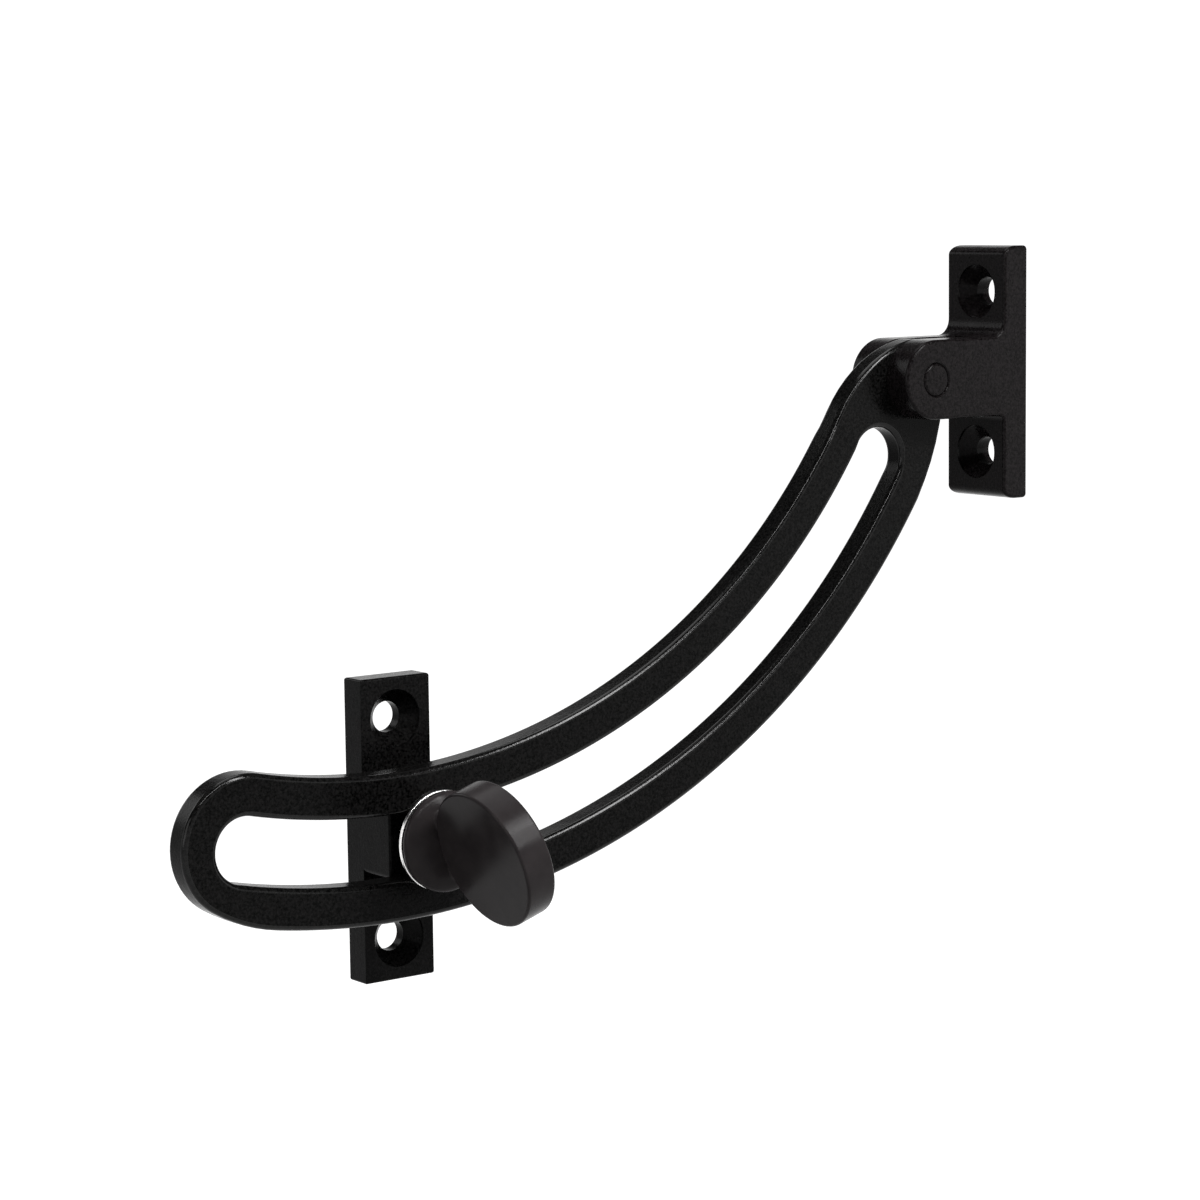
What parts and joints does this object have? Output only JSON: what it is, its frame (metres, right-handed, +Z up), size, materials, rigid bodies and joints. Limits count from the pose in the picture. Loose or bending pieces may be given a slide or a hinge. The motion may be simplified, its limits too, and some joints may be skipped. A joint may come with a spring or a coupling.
{
  "type": "quadrant stay",
  "caption": "Slotted quadrant arm that holds a hinged window open: it pivots in a forked bracket and is clamped to a keeper plate by a thumbscrew.",
  "frame": {"origin": "in the keeper's fixing face, on the axis of the thumbscrew's stud, midway between the keeper's two screw holes", "axes": "+X along the stay from the keeper to the bracket, +Y into the surface that the keeper is fixed to, +Z up"},
  "size_m": [0.1648, 0.0419, 0.1125],
  "materials": {
    "cast_black": "satin black coat over a finely textured casting",
    "turned_black": "smooth satin black coat over turned metal",
    "bare_steel": "bare washer steel, bright on its edge"
  },
  "bodies": {
    "keeper": {"keeper_plate": "cast_black"},
    "washer": {"clamp_washer": "bare_steel"},
    "arm": {"quadrant_arm": "cast_black"},
    "bracket": {"pivot_bracket": "cast_black", "pivot_pin": "turned_black"},
    "screw": {"thumbscrew": "turned_black"}
  },
  "joints": [
    {"name": "stay_swivel", "type": "hinge", "parent": "keeper", "child": "washer", "pos_m": [0, -0.0143, 0], "axis": [0, 1, 0], "continuous": true},
    {"name": "slot_travel", "type": "hinge", "parent": "washer", "child": "arm", "pos_m": [-0.00831, -0.0143, 0.11675], "axis": [0, 1, 0], "range_deg": [-17.4, 52.8]},
    {"name": "bracket_pivot", "type": "hinge", "parent": "arm", "child": "bracket", "pos_m": [0.09862, -0.0143, 0.06644], "axis": [0, 1, 0], "range_deg": [-150, 42]},
    {"name": "screw_turn", "type": "hinge", "parent": "keeper", "child": "screw", "pos_m": [0, -0.0143, 0], "axis": [0, 1, 0], "continuous": true}
  ]
}
